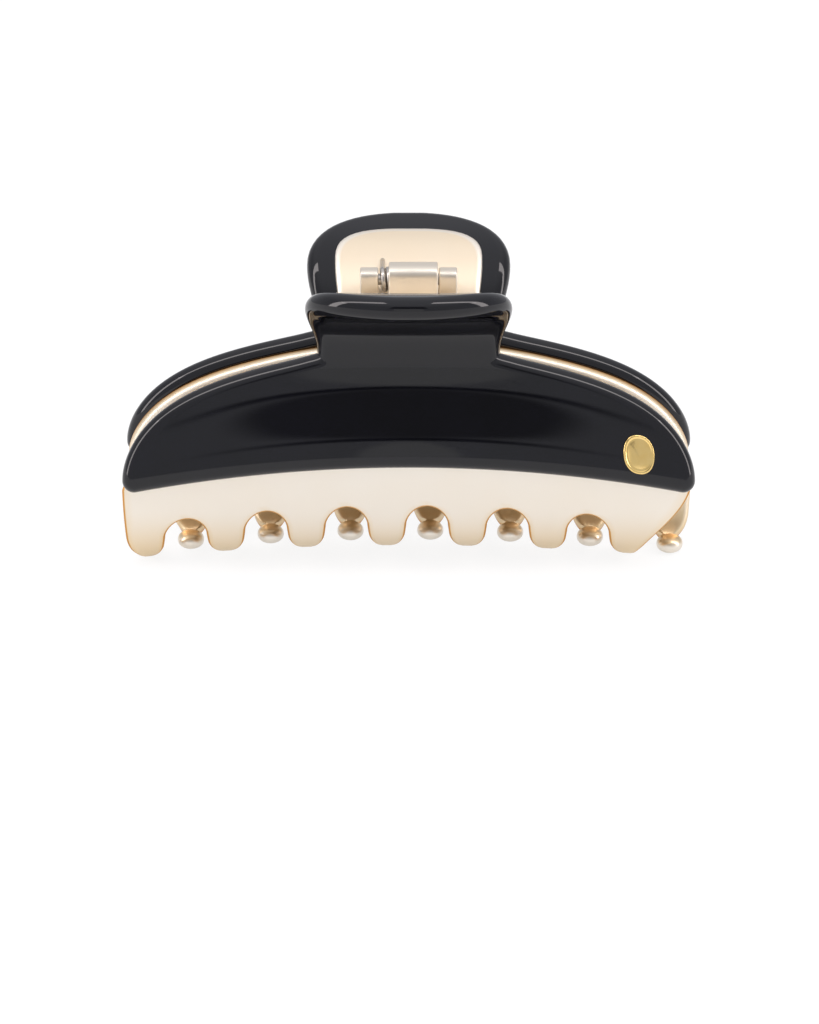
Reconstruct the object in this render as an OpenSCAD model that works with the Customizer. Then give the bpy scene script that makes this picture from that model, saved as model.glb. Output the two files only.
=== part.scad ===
// Claw hair clip: two jaws, each a thick acetate shell glued on a gold toothed comb,
// on one sprung hinge. Millimetres, +Z up. The hinge runs along X.
// The front jaw is on the -Y side, and the back jaw is the same jaw turned half round.

/* [Jaws] */
// Length of the clip along the hinge
jaw_length = 100; // [88:1:120]
// Distance from the middle plane to the shell's inner face at the neck
neck_out = 3.4; // [2.8:0.1:4.2]
// Height of the neck above the tooth tips
neck_h = 39; // [34:0.5:46]
// How far the thumb tab's ellipse reaches outwards
tab_out = 21.05; // [18:0.05:25]
// How far the thumb tab's ellipse rises over the neck
tab_up = 16.25; // [14:0.05:19.5]
// Angle of the thumb tab's ellipse that is used
tab_angle = 80; // [70:1:84]
// Distance from the middle plane to the shell's inner face at its lower edge
wing_out = 9.7; // [8.5:0.1:11]
// Height of the shell's lower edge line above the tooth tips
wing_h = 21.3; // [19:0.1:23]
// Share by which the jaw is flatter at its ends than in the middle
end_taper = 0.28; // [0:0.01:0.35]
// How much lower the shell's lower edge is at the ends
edge_drop = 6.2; // [3:0.1:7]
// How much lower the teeth are at the ends
tip_drop = 2.9; // [1:0.1:3.5]

/* [Shells] */
// Thickness of the acetate plate, whose edges are fully rounded
shell_t = 4.2; // [3.2:0.1:5]
// Glue film between the plate and the comb
glue_gap = 0.1; // [0.1:0.05:0.3]
// Half width of the thumb tab
tab_half = 18; // [15:0.1:20]
// Half width of the neck
neck_half = 16; // [13:0.1:17]
// Length of the neck between the tab and the wing's upper outline
neck_len = 1.1; // [0.5:0.1:2]

/* [Combs] */
// Thickness of the comb's plate and teeth
comb_t = 2.2; // [1.6:0.1:2.6]
// Thickness of the lining on the thumb tab
lining_t = 0.7; // [0.6:0.1:1]
// Distance from the shell's outline to the comb's at the ends of the wing
comb_inset = 0.2; // [0.1:0.1:1]
// Distance from the wing's upper outline down to the comb's
comb_low = 0.8; // [0.6:0.1:2.5]
// Half width of the lining on the tab
lining_half = 13; // [11:0.1:14]
// Half width of the lining at the neck
lining_neck = 11.9; // [10:0.1:12.5]
// Number of teeth on each comb
tooth_count = 7; // [5:1:9]
// Distance from the end of the clip to the first tooth's middle
tooth_in = 3.7; // [3.2:0.1:5]
// Shift of each comb's teeth along the clip
tooth_shift = -0.3; // [-0.5:0.1:0.5]
// Width of the gap between two teeth below its arch
gap_w = 7.4; // [6:0.1:8]
// How much the gap widens down to the tips
gap_flare = 2; // [1:0.1:2.4]
// Width of the ball on each tip
ball_w = 4.7; // [4:0.1:5.2]
// Height of the ball on each tip
ball_h = 3.1; // [2.6:0.1:3.4]

/* [Hinge] */
// Height of the hinge axis over the neck
hinge_up = 11.3; // [11:0.1:12]
// Diameter of the hinge pin
pin_d = 2; // [1.6:0.1:2.2]
// Radial clearance of the pin in the knuckles that hold it
pin_fit = 0.02; // [0.01:0.01:0.05]
// Radial clearance of the pin in the hood that turns on it
turn_fit = 0.05; // [0.03:0.01:0.1]
// Diameter of the knuckles on the back comb
knuckle_d = 4.8; // [4.4:0.1:5.2]
// Width of each knuckle
knuckle_w = 3.2; // [2.5:0.1:4]
// Distance between the knuckles
knuckle_span = 10.6; // [10:0.1:13]
// Axial clearance between the hood and the knuckle beside it
side_gap = 0.4; // [0.3:0.1:0.8]
// Open length of the coil between the hood and the other knuckle
coil_open = 1.8; // [1.6:0.1:2.4]
// Wall of the hood around the coil
hood_wall = 0.65; // [0.5:0.05:1]
// End wall of the hood, which the pin passes through
end_wall = 1; // [0.8:0.1:1.5]
// End of the pin inside the closed knuckle
blind_wall = 0.5; // [0.4:0.1:1]

/* [Spring] */
// Diameter of the spring wire
wire_d = 0.95; // [0.7:0.05:1]
// Clearance between the coil and the pin
coil_in = 0.28; // [0.2:0.01:0.4]
// Clearance between the coil and the hood
coil_out = 0.32; // [0.3:0.01:0.5]
// Full turns of the coil
coil_turns = 7; // [5:1:7]

/* [Plaque] */
// Width of the plaque
plaque_w = 5.6; // [4.5:0.1:6]
// Height of the plaque
plaque_h = 6.9; // [6.2:0.1:7.2]
// Thickness of the plaque at its rim
plaque_t = 1; // [0.8:0.1:1.2]
// Depth of its pocket in the shell
pocket_deep = 0.6; // [0.4:0.1:0.8]
// Clearance around the plaque in its pocket
pocket_gap = 0.1; // [0.05:0.05:0.2]
// Distance from the end of the clip to the plaque's middle
plaque_in = 9.7; // [8:0.1:14]

/* [Hidden] */

$fn = 48;
half_len = jaw_length / 2;
shell_r = shell_t / 2;
wing_drop = neck_h - wing_h;
// Rise of the wing's upper outline over the lower edge line
wing_rise = wing_drop - neck_len;
wing_curve = [
    [neck_out, neck_h],
    [neck_out, neck_h - wing_drop / 3],
    [wing_out - wing_drop / 15, wing_h + wing_drop / 3],
    [wing_out, wing_h]
];
skirt_curve = [[wing_out, wing_h], [wing_out + 1.6, wing_h - 7.9], [7.2, 0.5], [2.4, 1]];
ball_at = [0.9, 2.2];

// Teeth, from the comb's own end at -X
pitch = (jaw_length - 2 * tooth_in) / (tooth_count - 0.5);
first_tooth = -half_len + tooth_in + tooth_shift;
last_tooth = first_tooth + pitch * (tooth_count - 1);
comb_half = half_len - comb_inset - 0.1;
lining_v = 0.19;
arch_v = 2.39;
gap_v = 2.56;
base_z = tip_drop * pow(first_tooth / half_len, 2) - ball_at[1] + ball_h / 2;

// Hinge, along X
hinge_z = neck_h + hinge_up;
pin_r = pin_d / 2;
wire_r = wire_d / 2;
coil_r = pin_r + coil_in + wire_r;
chamber_r = coil_r + wire_r + coil_out;
hood_r = chamber_r + hood_wall;
knuckle_r = knuckle_d / 2;
knuckle_x = knuckle_span / 2;
hood_x0 = -knuckle_x + coil_open;
hood_x1 = knuckle_x - side_gap;
slot_w = wire_d + 0.25;
coil_x0 = -knuckle_x + wire_r + 0.22;
coil_x1 = hood_x1 - end_wall - slot_w / 2;
pin_x0 = -knuckle_x - knuckle_w + blind_wall;
pin_x1 = knuckle_x + knuckle_w;

function mix(a, b, t) = a + (b - a) * t;
function clamp(t) = min(1, max(0, t));
function smooth(t) = let(s = clamp(t)) s * s * (3 - 2 * s);
function unit(a) = a / norm(a);
function bez(p, t) = p[0] * pow(1 - t, 3) + 3 * p[1] * t * pow(1 - t, 2) + 3 * p[2] * t * t * (1 - t) + p[3] * pow(t, 3);

// Side profile of the face where shell and comb meet, as distance out and height.
// v runs 0 to 1 down the tab, 1 to 2 down the wing and 2 to 3 down the teeth.
function tab_prof(a) = [neck_out + tab_out * (1 - cos(a)), neck_h + tab_up * sin(a)];
function prof(v) = v <= 1 ? tab_prof(tab_angle * (1 - v)) : v <= 2 ? bez(wing_curve, v - 1) : bez(skirt_curve, v - 2);
function prof_n(v) = let(t = unit(prof(min(3, v + 0.01)) - prof(max(0, v - 0.01)))) [-t[1], t[0]];
// A point of the profile moved outwards by w
function prof_at(v, w) = prof(v) + w * prof_n(v);
function drop(v) = v < 2 ? edge_drop * smooth(v - 1) : mix(edge_drop, tip_drop, smooth(v - 2));
// A point of the front jaw, w outwards from the meeting face
function jaw_pt(x, v, w) =
    let(p = prof(v), n = prof_n(v), k = pow(x / half_len, 2))
    [x, -p[0] * (1 - end_taper * k) - w * n[0], base_z + p[1] - drop(v) * k + w * n[1]];

// Half width of an outline: a rounded tab top, a waist and an elliptic wing
function top_round(v, v0, dv, e) = pow(max(0, 1 - pow(1 - clamp((v - v0) / dv), e)), 1 / e);
function tab_line(v, v0, dv, e, wide, waist) =
    v < v0 + dv ? wide * top_round(v, v0, dv, e) : mix(wide, waist, (1 - cos(180 * clamp((v - v0 - dv) / (1 - v0 - dv)))) / 2);
// An ellipse with its shoulders drawn in
function wing_line(v, wide, rise) =
    let(q = max(0, 1 - pow((prof(v)[1] - wing_h) / rise, 2))) wide * (sqrt(q) - 0.4 * q * pow(1 - q, 2));
function outline(v, waist, wide, rise) = pow(pow(waist, 3) + pow(wing_line(v, wide, rise), 3), 1 / 3);
function shell_half(v) =
    v < 1 ? tab_line(v, 0, 0.43, 2.15, tab_half - shell_r, neck_half - shell_r)
    : outline(v, neck_half - shell_r, half_len - shell_r, wing_rise - shell_r);
function comb_side(v) =
    v < 1 ? tab_line(v, lining_v, 0.27, 3, lining_half, lining_neck)
    : v < 2 ? outline(v, lining_neck, comb_half, wing_rise - comb_low)
    : comb_half;
// The comb's ends: nearly upright at -X, slanting in to the last tooth at +X
function comb_left(v) = -comb_side(v) + (v > 2 ? smooth(v - 2) : 0);
function comb_right(v) = v < 2 ? comb_side(v) : mix(comb_half, last_tooth + 2.2, smooth((v - 2) * 1.25));
function comb_thick(v) = mix(lining_t, comb_t, smooth((v - 0.35) / 0.55));

// Rows down the profile, closer where the outline turns quickly
function wing_rows(rise, angles) = [for (a = angles) 1 + (wing_drop - rise * cos(a)) / wing_drop];

// Two triangles for the four-cornered face a, b, c, d
function quad(a, b, c, d) = [[a, b, c], [a, c, d]];
function flat1(lists) = [for (l = lists) for (e = l) e];

// ---- shell -------------------------------------------------------------------
shell_cols = 12;
shell_rings = 4;
shell_v = concat(
    [for (i = [0:9]) mix(0.012, 1, 1 - cos(10 * i))],
    [1.06, 1.11],
    wing_rows(wing_rise - shell_r, [11, 19, 27, 35, 43, 51, 59, 67, 75, 83, 87, 90])
);

function ring_order(rows, cols) = concat(
    [for (j = [0:cols]) [0, j]],
    [for (i = [1:rows]) [i, cols]],
    [for (j = [cols - 1:-1:0]) [rows, j]],
    [for (i = [rows - 1:-1:1]) [i, 0]]
);

// A plate with full-round edges, sized by its half width inside the rounding
module shell_plate() {
    nr = len(shell_v) - 1;
    nc = shell_cols;
    grid = (nr + 1) * (nc + 1);
    order = ring_order(nr, nc);
    nl = len(order);
    x_at = function(i, j) mix(-1, 1, j / nc) * shell_half(shell_v[i]);
    face_at = function(i, j, w) jaw_pt(x_at(i, j), shell_v[i], w);
    w0 = glue_gap;
    w1 = glue_gap + shell_t;
    outer = [for (i = [0:nr]) for (j = [0:nc]) face_at(i, j, w1)];
    inner = [for (i = [0:nr]) for (j = [0:nc]) face_at(i, j, w0)];
    edge_o = [for (q = order) face_at(q[0], q[1], w1)];
    edge_i = [for (q = order) face_at(q[0], q[1], w0)];
    mid = (edge_o + edge_i) / 2;
    up = (edge_o - edge_i) / 2;
    away = [for (m = [0:nl - 1]) unit(cross(up[m], mid[(m + 1) % nl] - mid[(m + nl - 1) % nl]))];
    rings = [
        for (k = [1:shell_rings]) for (m = [0:nl - 1])
            mid[m] + up[m] * cos(180 * k / (shell_rings + 1)) + away[m] * shell_r * sin(180 * k / (shell_rings + 1))
    ];
    id = function(q) q[0] * (nc + 1) + q[1];
    ring_id = function(k, m) k == 0 ? id(order[m % nl])
        : k > shell_rings ? grid + id(order[m % nl])
        : 2 * grid + (k - 1) * nl + m % nl;
    top = [for (i = [0:nr - 1]) for (j = [0:nc - 1]) quad(id([i, j]), id([i, j + 1]), id([i + 1, j + 1]), id([i + 1, j]))];
    under = [
        for (i = [0:nr - 1]) for (j = [0:nc - 1])
            quad(grid + id([i, j]), grid + id([i + 1, j]), grid + id([i + 1, j + 1]), grid + id([i, j + 1]))
    ];
    rim = [
        for (k = [0:shell_rings]) for (m = [0:nl - 1])
            quad(ring_id(k, m), ring_id(k + 1, m), ring_id(k + 1, m + 1), ring_id(k, m + 1))
    ];
    polyhedron(concat(outer, inner, rings), flat1(concat(top, under, rim)));
}

// ---- plaque ------------------------------------------------------------------
plaque_x = half_len - plaque_in;
plaque_v = 1.84;
function shell_face(x, v) = jaw_pt(x, v, glue_gap + shell_t);
plaque_n = unit(cross(
    shell_face(plaque_x + 1, plaque_v) - shell_face(plaque_x - 1, plaque_v),
    shell_face(plaque_x, plaque_v - 0.05) - shell_face(plaque_x, plaque_v + 0.05)
));

module plaque_2d(grow) {
    r = plaque_w / 2 + grow;
    reach = (plaque_h - plaque_w) / 2;
    for (s = [-1, 1]) translate([0, s * reach]) circle(r);
    translate([-r, -reach]) square([2 * r, 2 * reach]);
}

// Stands the plaque's axis on the shell's outer face
module on_shell() {
    translate(shell_face(plaque_x, plaque_v))
        rotate([90 - asin(plaque_n[2]), 0, atan2(plaque_n[0], -plaque_n[1])])
            children();
}

// ---- comb --------------------------------------------------------------------
body_v = concat(
    [for (q = [0.008, 0.014, 0.03, 0.06, 0.11, 0.18, 0.26]) lining_v + q],
    [0.56, 0.7, 0.85, 1, 1.06],
    wing_rows(wing_rise - comb_low, [8, 14, 20, 27, 35, 43, 51, 59, 67, 75, 83, 90]),
    [2.1, 2.2, 2.3, arch_v]
);
tooth_v = [arch_v, 2.395, 2.41, 2.44, 2.49, gap_v, 2.66, 2.76, 2.86, 2.94, 3];

function gap_mid(t) = first_tooth + pitch * (t + 0.5);
function gap_half(v) = v < gap_v ? gap_w / 2 * sqrt(max(0, 1 - pow((gap_v - v) / (gap_v - arch_v), 2)))
    : mix(gap_w / 2, (gap_w + gap_flare) / 2, (v - gap_v) / (3 - gap_v));
function tooth_left(t, v) = t == 0 ? comb_left(v) : gap_mid(t - 1) + gap_half(v);
function tooth_right(t, v) = t == tooth_count - 1 ? comb_right(v) : gap_mid(t) - gap_half(v);

// Ball on the tip of tooth t, as three columns of points below (s = 0) or above (s = 1)
ball_angles = [65, 90, 120, 148, 170];
function ball_pt(t, c, s, a) =
    let(x = first_tooth + pitch * t, k = pow(x / half_len, 2), h = (c == 1 ? 1 : 0.5) * (2 * s - 1))
    [
        x + (c - 1) * ball_w / 2 * sin(a),
        -ball_at[0] * (1 - end_taper * k) - ball_w / 2 * cos(a),
        base_z + ball_at[1] - tip_drop * k + h * ball_h / 2 * sin(a)
    ];

// The plate, its teeth and their balls in one closed surface: teeth hang from the plate's last row
module comb_plate() {
    nb = len(body_v) - 1;
    nv = len(tooth_v) - 1;
    nt = nv + len(ball_angles);
    nc = 2 * tooth_count;
    foot = function(j) j % 2 == 1
        ? (tooth_left((j - 1) / 2, arch_v) + tooth_right((j - 1) / 2, arch_v)) / 2
        : j == nc ? comb_right(arch_v) : tooth_left(j / 2, arch_v);
    share = [for (j = [0:nc]) (foot(j) - foot(0)) / (foot(nc) - foot(0))];
    body_n = (nb + 1) * (nc + 1);
    face = function(s) concat(
        [for (i = [0:nb]) for (j = [0:nc]) let(v = body_v[i])
            jaw_pt(mix(comb_left(v), comb_right(v), share[j]), v, -s * comb_thick(v))],
        [for (t = [0:tooth_count - 1]) for (r = [1:nt]) for (c = [0:2])
            r > nv ? ball_pt(t, c, s, ball_angles[r - nv - 1])
            : jaw_pt(mix(tooth_left(t, tooth_v[r]), tooth_right(t, tooth_v[r]), c / 2), tooth_v[r], -s * comb_thick(tooth_v[r]))]
    );
    id = function(i, j) i * (nc + 1) + j;
    tid = function(t, r, c) r == 0 ? id(nb, 2 * t + c) : body_n + (t * nt + r - 1) * 3 + c;
    outer = face(0);
    n = len(outer);
    cells = concat(
        [for (i = [0:nb - 1]) for (j = [0:nc - 1]) [id(i, j), id(i, j + 1), id(i + 1, j + 1), id(i + 1, j)]],
        [for (t = [0:tooth_count - 1]) for (r = [0:nt - 1]) for (c = [0:1])
            [tid(t, r, c), tid(t, r, c + 1), tid(t, r + 1, c + 1), tid(t, r + 1, c)]]
    );
    loop = concat(
        [for (j = [0:nc]) id(0, j)],
        [for (i = [1:nb]) id(i, nc)],
        [for (t = [tooth_count - 1:-1:0]) each concat(
            [for (r = [1:nt]) tid(t, r, 2)],
            [tid(t, nt, 1)],
            [for (r = [nt:-1:1]) tid(t, r, 0)],
            t > 0 ? [tid(t, 0, 0)] : []
        )],
        [for (i = [nb:-1:1]) id(i, 0)]
    );
    nl = len(loop);
    walls = [for (m = [0:nl - 1]) let(a = loop[m], b = loop[(m + 1) % nl]) quad(a, a + n, b + n, b)];
    polyhedron(
        concat(outer, face(1)),
        flat1(concat(
            [for (q = cells) quad(q[0], q[1], q[2], q[3])],
            [for (q = cells) quad(q[0] + n, q[3] + n, q[2] + n, q[1] + n)],
            walls
        ))
    );
}

// Angle of the point where a line from p touches a circle around the hinge axis
function touch_angle(p, r, side) =
    let(q = p - [0, hinge_z]) atan2(q[1], q[0]) + side * acos(r / norm(q));
function on_circle(r, a) = [r * cos(a), hinge_z + r * sin(a)];

// Side view of a barrel and the web that joins it to the lining from v0 down to v1
module barrel_2d(r, v0, v1) {
    web = [for (i = [0:6]) prof_at(mix(v0, v1, i / 6), -0.3)];
    polygon(concat(
        [on_circle(r - 0.02, touch_angle(web[0], r, 1))],
        web,
        [on_circle(r - 0.02, touch_angle(web[6], r, -1)), [0, hinge_z]]
    ));
    translate([0, hinge_z]) circle(r);
}

// Extrudes a side view along X from x0 to x1, on the back jaw's side
module along_x(x0, x1) {
    translate([x0, 0, base_z]) rotate([90, 0, 90]) linear_extrude(x1 - x0) children();
}

module rod_x(r, x0, x1) {
    translate([x0, 0, base_z + hinge_z]) rotate([0, 90, 0]) cylinder(h = x1 - x0, r = r);
}

// ---- spring ------------------------------------------------------------------
leg_v = 0.48;
leg_end = prof_at(leg_v, -comb_thick(leg_v) - wire_r - 0.1);
leg_angle = touch_angle(leg_end, coil_r, 1);
leg_len = sqrt(pow(norm(leg_end - [0, hinge_z]), 2) - pow(coil_r, 2));
coil_steps = 16 * coil_turns;
wire_sides = 8;

function coil_ring(a, x, along) =
    let(rad = [0, cos(a), sin(a)], fwd = [0, -sin(a), cos(a)], c = [x, 0, base_z + hinge_z] + coil_r * rad + along * fwd)
    [for (s = [0:wire_sides - 1]) c + wire_r * (cos(360 * s / wire_sides) * rad + sin(360 * s / wire_sides) * [1, 0, 0])];

module spring_wire() {
    turn = 360 * coil_turns + 180 - 2 * leg_angle;
    rings = concat(
        [coil_ring(leg_angle, coil_x0, -leg_len)],
        [for (i = [0:coil_steps]) coil_ring(leg_angle + turn * i / coil_steps, mix(coil_x0, coil_x1, i / coil_steps), 0)],
        [coil_ring(leg_angle + turn, coil_x1, leg_len)]
    );
    last = len(rings) - 1;
    polyhedron(
        flat1(rings),
        concat(
            [[for (s = [0:wire_sides - 1]) s]],
            flat1([for (i = [0:last - 1]) for (s = [0:wire_sides - 1])
                let(a = i * wire_sides + s, b = i * wire_sides + (s + 1) % wire_sides)
                quad(a, a + wire_sides, b + wire_sides, b)]),
            [[for (s = [wire_sides - 1:-1:0]) last * wire_sides + s]]
        )
    );
}

// The way of the front leg through the hood
module leg_slot() {
    translate([coil_x1 - slot_w / 2, 0, base_z + hinge_z])
        rotate([90 - leg_angle, 0, 0])
            translate([0, -leg_len - 0.2, coil_r - slot_w / 2])
                cube([slot_w, leg_len + 0.2, slot_w]);
}

// ---- nodes -------------------------------------------------------------------
module front_shell() {
    color("#26262b") difference() {
        shell_plate();
        on_shell() translate([0, 0, -pocket_deep]) linear_extrude(4) plaque_2d(pocket_gap);
    }
}

module back_shell() {
    color("#303036") rotate([0, 0, 180]) shell_plate();
}

module front_comb() {
    color("#e6c9a0") difference() {
        union() {
            comb_plate();
            mirror([0, 1, 0]) along_x(hood_x0, hood_x1) barrel_2d(hood_r, 0.33, 0.75);
        }
        rod_x(chamber_r, hood_x0 - 1, hood_x1 - end_wall);
        rod_x(pin_r + turn_fit, hood_x0, hood_x1 + 1);
        leg_slot();
    }
}

module back_comb() {
    color("#dcb887") difference() {
        union() {
            rotate([0, 0, 180]) comb_plate();
            for (x = [-knuckle_x - knuckle_w, knuckle_x])
                along_x(x, x + knuckle_w) barrel_2d(knuckle_r, 0.62, 0.85);
        }
        rod_x(pin_r + pin_fit, pin_x0 - pin_fit, pin_x1 + 1);
    }
}

module hinge_pin() {
    color("#b9b4ae") rod_x(pin_r, pin_x0, pin_x1);
}

module torsion_spring() {
    color("#8f8c88") spring_wire();
}

module plaque() {
    color("#f0d9a8") on_shell() intersection() {
        translate([0, 0, -pocket_deep + 0.05]) linear_extrude(plaque_t + 1) plaque_2d(0);
        translate([0, 0, plaque_t - pocket_deep + 0.05 + 0.45 - 14]) sphere(14, $fn = 96);
    }
}

front_shell();
back_shell();
front_comb();
back_comb();
hinge_pin();
torsion_spring();
plaque();
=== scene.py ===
"""Claw hair clip: black acetate shells on pale gold combs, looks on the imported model.

Each jaw is drawn on the curved face where its shell and its comb meet. A place on that face is x,
along the hinge, and v, down the jaw: 0 at the top of the tab, 1 at the neck, 2 at the wing's lower
edge and 3 at the tooth tips. The clip's sizes are in millimetres, and its meshes and the studio in metres.
"""
import math

import bmesh
import bpy
from mathutils import Matrix, Vector


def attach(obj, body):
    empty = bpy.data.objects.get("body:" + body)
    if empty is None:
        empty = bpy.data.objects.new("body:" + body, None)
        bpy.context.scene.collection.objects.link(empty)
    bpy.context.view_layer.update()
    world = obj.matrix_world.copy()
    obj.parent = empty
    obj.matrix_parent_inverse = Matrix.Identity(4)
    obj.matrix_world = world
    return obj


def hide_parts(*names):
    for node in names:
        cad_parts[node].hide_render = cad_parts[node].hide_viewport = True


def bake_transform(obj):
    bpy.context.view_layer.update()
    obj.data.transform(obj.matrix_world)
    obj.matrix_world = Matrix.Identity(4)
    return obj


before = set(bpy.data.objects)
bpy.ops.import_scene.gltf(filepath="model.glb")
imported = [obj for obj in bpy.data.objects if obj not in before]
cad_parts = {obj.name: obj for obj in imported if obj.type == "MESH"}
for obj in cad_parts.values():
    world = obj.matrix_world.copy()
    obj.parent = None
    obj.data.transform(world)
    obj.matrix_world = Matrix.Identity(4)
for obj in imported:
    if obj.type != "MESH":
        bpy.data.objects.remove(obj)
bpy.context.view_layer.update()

MM = 0.001

# ---- sizes of a jaw -----------------------------------------------------------
HALF_LEN = 50.0
# Distance out from the middle plane, and height, of the neck and of the wing's lower edge
NECK_OUT, NECK_H = 3.4, 39.0
WING_OUT, WING_H = 9.7, 21.3
WING_DROP = NECK_H - WING_H
# The tab curls outwards on part of an ellipse
TAB_OUT, TAB_UP, TAB_ANGLE = 21.05, 16.25, 80.0
# Towards its ends the jaw closes in and hangs lower
END_TAPER, EDGE_DROP, TIP_DROP = 0.28, 6.2, 2.9
WING_CURVE = (
    (NECK_OUT, NECK_H),
    (NECK_OUT, NECK_H - WING_DROP * 0.45),
    (WING_OUT - WING_DROP / 15, WING_H + WING_DROP * 0.3),
    (WING_OUT, WING_H),
)
SKIRT_CURVE = ((WING_OUT, WING_H), (WING_OUT + 1.6, WING_H - 7.9), (7.2, 0.5), (2.4, 1.0))
# Length down the jaw of one step of v, on the tab and on the teeth
TAB_LEN, SKIRT_LEN = 26, 23

# Shell: thickness, half widths of tab and neck, and height of the wing over its lower edge
SHELL_T, GLUE_GAP = 4.2, 0.1
TAB_HALF, NECK_HALF, WING_RISE = 18.0, 16.0, 16.6
TAB_REACH, TAB_POWER = 0.43, 2.15
FILLET, FILLET_V = 1.3, 0.15

# Comb: thickness, half width and rise of its plate, and of the thin lining that it has on the tab
COMB_T, LINING_T = 2.2, 0.7
COMB_HALF, COMB_RISE = 49.7, 15.8
LINING_HALF, LINING_NECK = 13.0, 11.9
LINING_REACH, LINING_POWER = 0.27, 3.0
# Top of the lining, lower on the front jaw, where the lip of the shell hides it
BACK_LINING_V, FRONT_LINING_V = 0.19, 0.42
# Radius of its edge, outside and inside
OUTER_EDGE, INNER_EDGE = 0.45, 1.0
# Just under the shell its ends step out by a ledge. From there the left end slants in a little, and
# the right end, faster, to RIGHT_END past the middle of the last tooth
LEDGE_V, LEFT_LEDGE, RIGHT_LEDGE = 0.08, 0.9, 0.3
LEFT_SLANT, RIGHT_SPEED, RIGHT_END = 1.0, 1.25, 2.2

# Teeth, seven to a jaw, where the teeth of one jaw stand in the gaps of the other
TEETH, FIRST_TOOTH, PITCH = 7, -46.6, 92.6 / 6.5
# A gap is an arch from ARCH_V to GAP_V, and then flares
GAP_W, GAP_FLARE, ARCH_V, GAP_V = 7.4, 2.0, 2.39, 2.56
# A tip rounds off from height ROUND_H down to TIP_H, to TIP_SHARE of its width, and ends in its ball
ROUND_H, TIP_H, TIP_SHARE, TIP_V = 4.8, 1.55, 0.38, 2.985
# Corner of the left end tooth
CORNER, CORNER_V, CORNER_LEN = 1.8, 2.5, 0.45
BALL_OUT, BALL_UP, BALL_W, BALL_H = 0.9, 2.2, 4.7, 3.1

# Height in the frame of the profile's zero, and of the hinge axis, HINGE_UP above it
BASE_Z = TIP_DROP * (FIRST_TOOTH / HALF_LEN) ** 2 - BALL_UP + BALL_H / 2
HINGE_UP = NECK_H + 11.3
HINGE_Z = BASE_Z + HINGE_UP


# ---- the jaw's surface --------------------------------------------------------
def mix(a, b, t):
    """The value at a share t of the way from a to b."""
    return a + (b - a) * t


def limit(t):
    return min(1.0, max(0.0, t))


def smooth(t):
    """A share that starts and stops gently, 0 before 0 and 1 after 1."""
    t = limit(t)
    return t * t * (3 - 2 * t)


def spread(a, b, n):
    """n equal steps from a to b, both ends included."""
    return [a + (b - a) * i / n for i in range(n + 1)]


def bezier(p, t):
    """A point of the cubic curve with the four control points p."""
    a, b, c, d = (1 - t) ** 3, 3 * t * (1 - t) ** 2, 3 * t * t * (1 - t), t**3
    return tuple(a * p[0][i] + b * p[1][i] + c * p[2][i] + d * p[3][i] for i in (0, 1))


def profile(v):
    """Distance out and height of the meeting face in the middle of the jaw."""
    if v <= 1:
        a = math.radians(TAB_ANGLE * (1 - v))
        return NECK_OUT + TAB_OUT * (1 - math.cos(a)), NECK_H + TAB_UP * math.sin(a)
    return bezier(WING_CURVE, v - 1) if v <= 2 else bezier(SKIRT_CURVE, v - 2)


def profile_normal(v):
    """The meeting face's normal, pointing outwards, as (out, up)."""
    a, b = profile(max(0.0, v - 0.01)), profile(min(3.0, v + 0.01))
    t = Vector((b[0] - a[0], b[1] - a[1])).normalized()
    return -t[1], t[0]


def drop(v):
    """How far the jaw's ends hang below its middle."""
    return EDGE_DROP * smooth(v - 1) if v < 2 else mix(EDGE_DROP, TIP_DROP, smooth(v - 2))


def jaw_point(x, v, w):
    """A point of the front jaw in mm, w outwards from the meeting face."""
    (d, z), (nd, nz), k = profile(v), profile_normal(v), (x / HALF_LEN) ** 2
    return Vector((x, -d * (1 - END_TAPER * k) - w * nd, BASE_Z + z - drop(v) * k + w * nz))


# ---- outlines, each with an inset e for its rounded edge ----------------------
def rounded_top(s, power):
    """Share of a superellipse's half width that is reached at a share s of its height from the top."""
    return max(0.0, 1 - (1 - limit(s)) ** power) ** (1 / power)


def tab_line(v, start, reach, power, wide, waist):
    """Half width of a tab that rounds off above start + reach and narrows to its waist at the neck."""
    if v < start + reach:
        return wide * rounded_top((v - start) / reach, power)
    down = min(1.0, (v - start - reach) / (1 - start - reach))
    return mix(wide, waist, (1 - math.cos(math.pi * down)) / 2)


def wing_line(v, waist, wide, rise, fillet=0.0):
    """Half width of the wing, drawn in at its shoulders and filleted into the neck."""
    below = rise - (profile(v)[1] - WING_H)
    h = rise - (below + math.sqrt(below * below + fillet * fillet)) / 2
    q = max(0.0, 1 - (h / rise) ** 2)
    return (waist**3 + (wide * (math.sqrt(q) - 0.4 * q * (1 - q) ** 2)) ** 3) ** (1 / 3)


def shell_half(v, e):
    """Half width of the shell, which is the same on both sides."""
    if v < 1:
        return tab_line(v, 0.0, TAB_REACH, TAB_POWER, TAB_HALF - e, NECK_HALF - e)
    fillet = FILLET * min(1.0, (v - 1) / FILLET_V)
    return wing_line(v, NECK_HALF - e, HALF_LEN - e, WING_RISE - e, fillet)


def comb_side(v, e, lining):
    """Half width of lining and plate before their ends are shaped."""
    if v < 1:
        top = lining + e / TAB_LEN
        return tab_line(v, top, LINING_REACH, LINING_POWER, LINING_HALF - e, LINING_NECK - e)
    if v < 2:
        return wing_line(v, LINING_NECK - e, COMB_HALF - e, COMB_RISE - e)
    return COMB_HALF - e


def comb_left(v, e, lining=BACK_LINING_V):
    """Place of the comb's left border."""
    side = -comb_side(v, e, lining)
    if v > 2:
        side += LEFT_SLANT * smooth(v - 2) - LEFT_LEDGE * smooth((v - 2) / LEDGE_V)
    return side


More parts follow.
